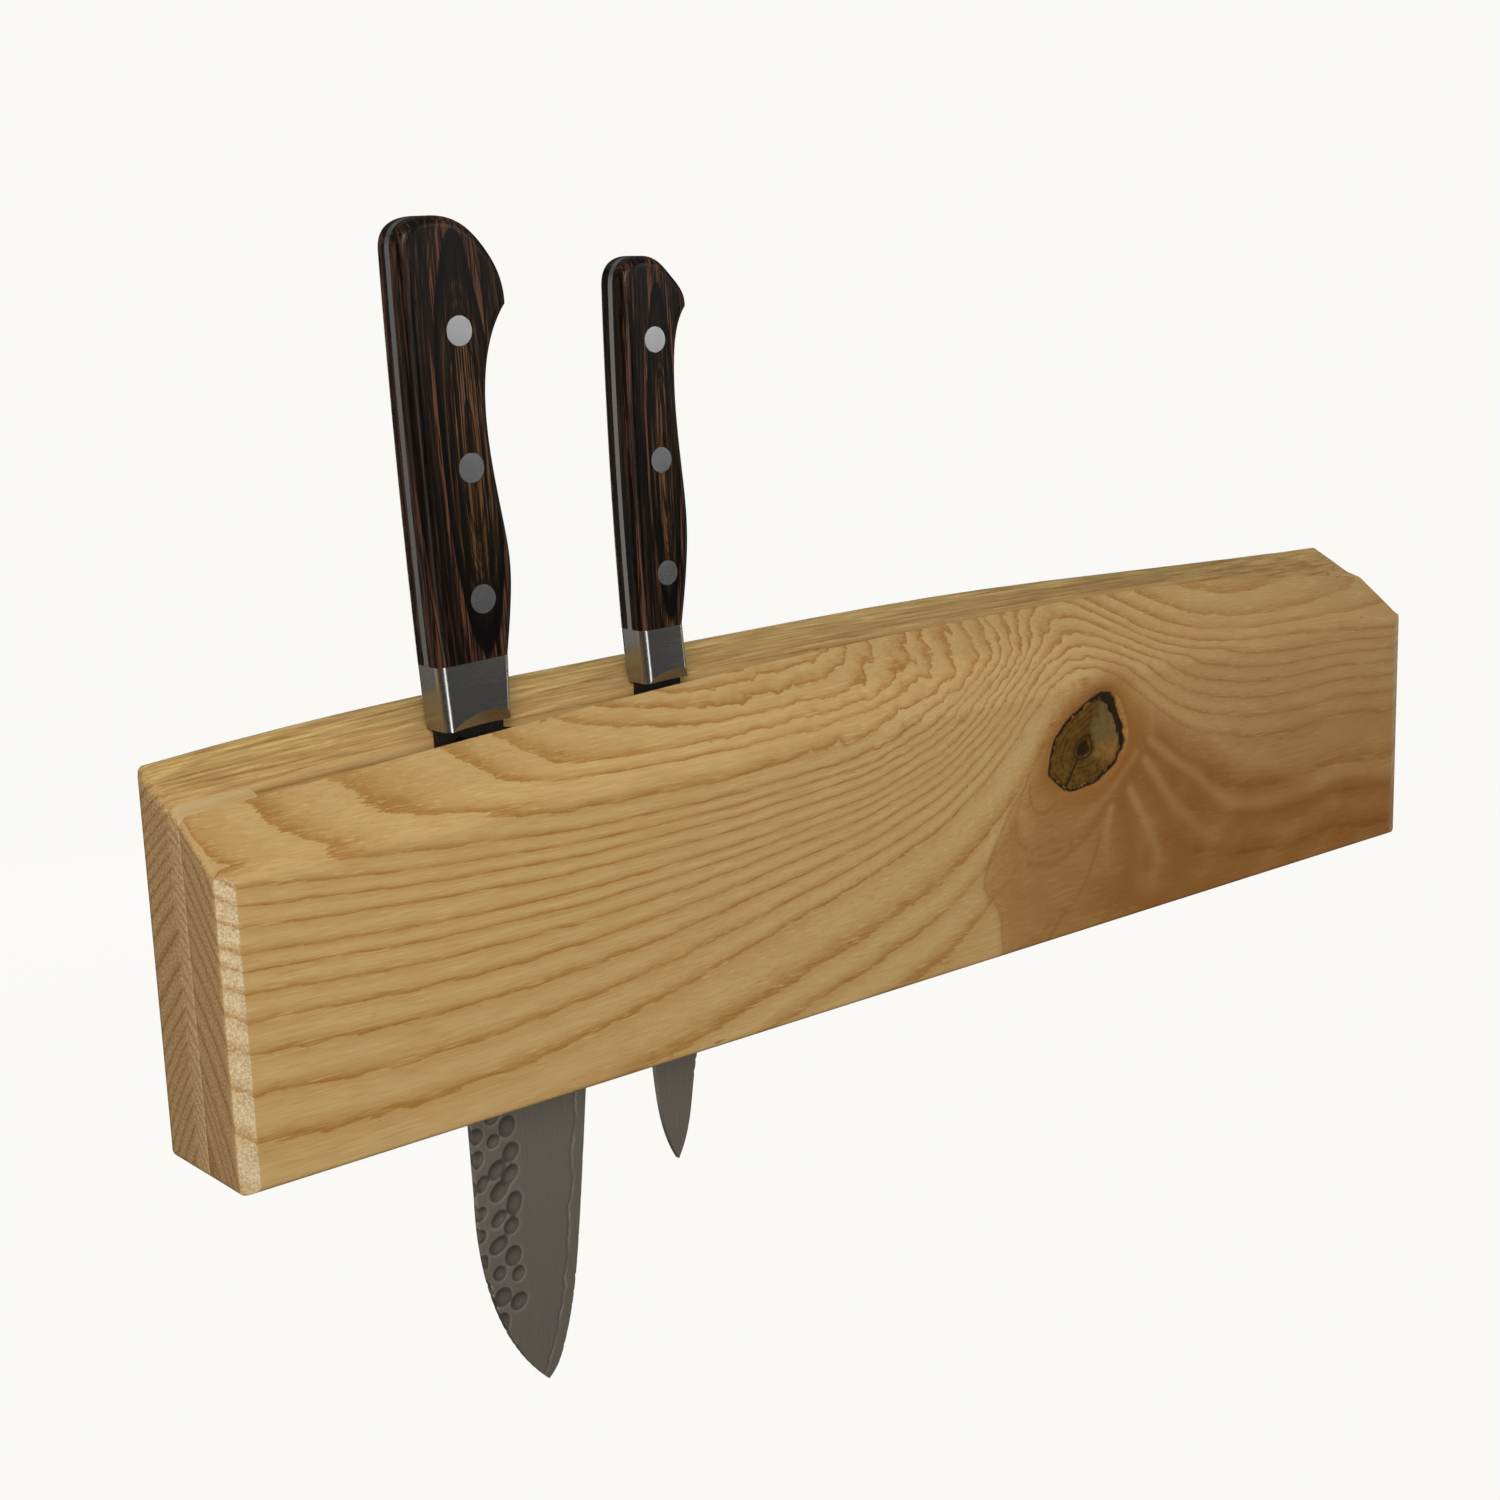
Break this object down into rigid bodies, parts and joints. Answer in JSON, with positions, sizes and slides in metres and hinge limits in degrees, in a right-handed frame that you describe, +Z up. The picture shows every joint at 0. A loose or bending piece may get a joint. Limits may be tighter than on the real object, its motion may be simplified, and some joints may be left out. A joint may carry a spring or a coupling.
{
  "type": "knife magnetic rack",
  "caption": "Wall rack of glued wooden boards with a magnet-lined slot; two riveted kitchen knives stand in the slot, blade down, and lift out.",
  "frame": {"origin": "on the wall face of the rear board, midway between the entry holes of the two keyhole hangers, 60 mm above the underside", "axes": "+X along the rack to the right as seen from the front, +Y into the wall, +Z up"},
  "size_m": [0.45, 0.037, 0.3091],
  "materials": {
    "ash_wood": "oiled, satin",
    "spacer_wood": "oiled, satin",
    "magnet": "nickel plated",
    "hanger_steel": "zinc plated",
    "blade_steel": "dark satin, hammered beside the spine",
    "bolster_steel": "brushed",
    "rivet_steel": "satin",
    "dark_laminate": "resin-filled, satin"
  },
  "bodies": {
    "rack": {"rear_board": "ash_wood", "front_board": "ash_wood", "end_spacer_left": "spacer_wood", "end_spacer_right": "spacer_wood", "magnets": "magnet", "hanger_plate_left": "hanger_steel", "hanger_plate_right": "hanger_steel", "hanger_screws": "hanger_steel"},
    "santoku": {"santoku_blade": "blade_steel", "santoku_bolster_tang": "bolster_steel", "santoku_front_scale": "dark_laminate", "santoku_rear_scale": "dark_laminate", "santoku_rivets": "rivet_steel"},
    "petty": {"petty_blade": "blade_steel", "petty_bolster_tang": "bolster_steel", "petty_front_scale": "dark_laminate", "petty_rear_scale": "dark_laminate", "petty_rivets": "rivet_steel"}
  },
  "joints": [
    {"name": "santoku_lift", "type": "slide", "parent": "rack", "child": "santoku", "axis": [0, 0, 1], "range_m": [0, 0.2]},
    {"name": "petty_lift", "type": "slide", "parent": "rack", "child": "petty", "axis": [0, 0, 1], "range_m": [0, 0.15]}
  ]
}
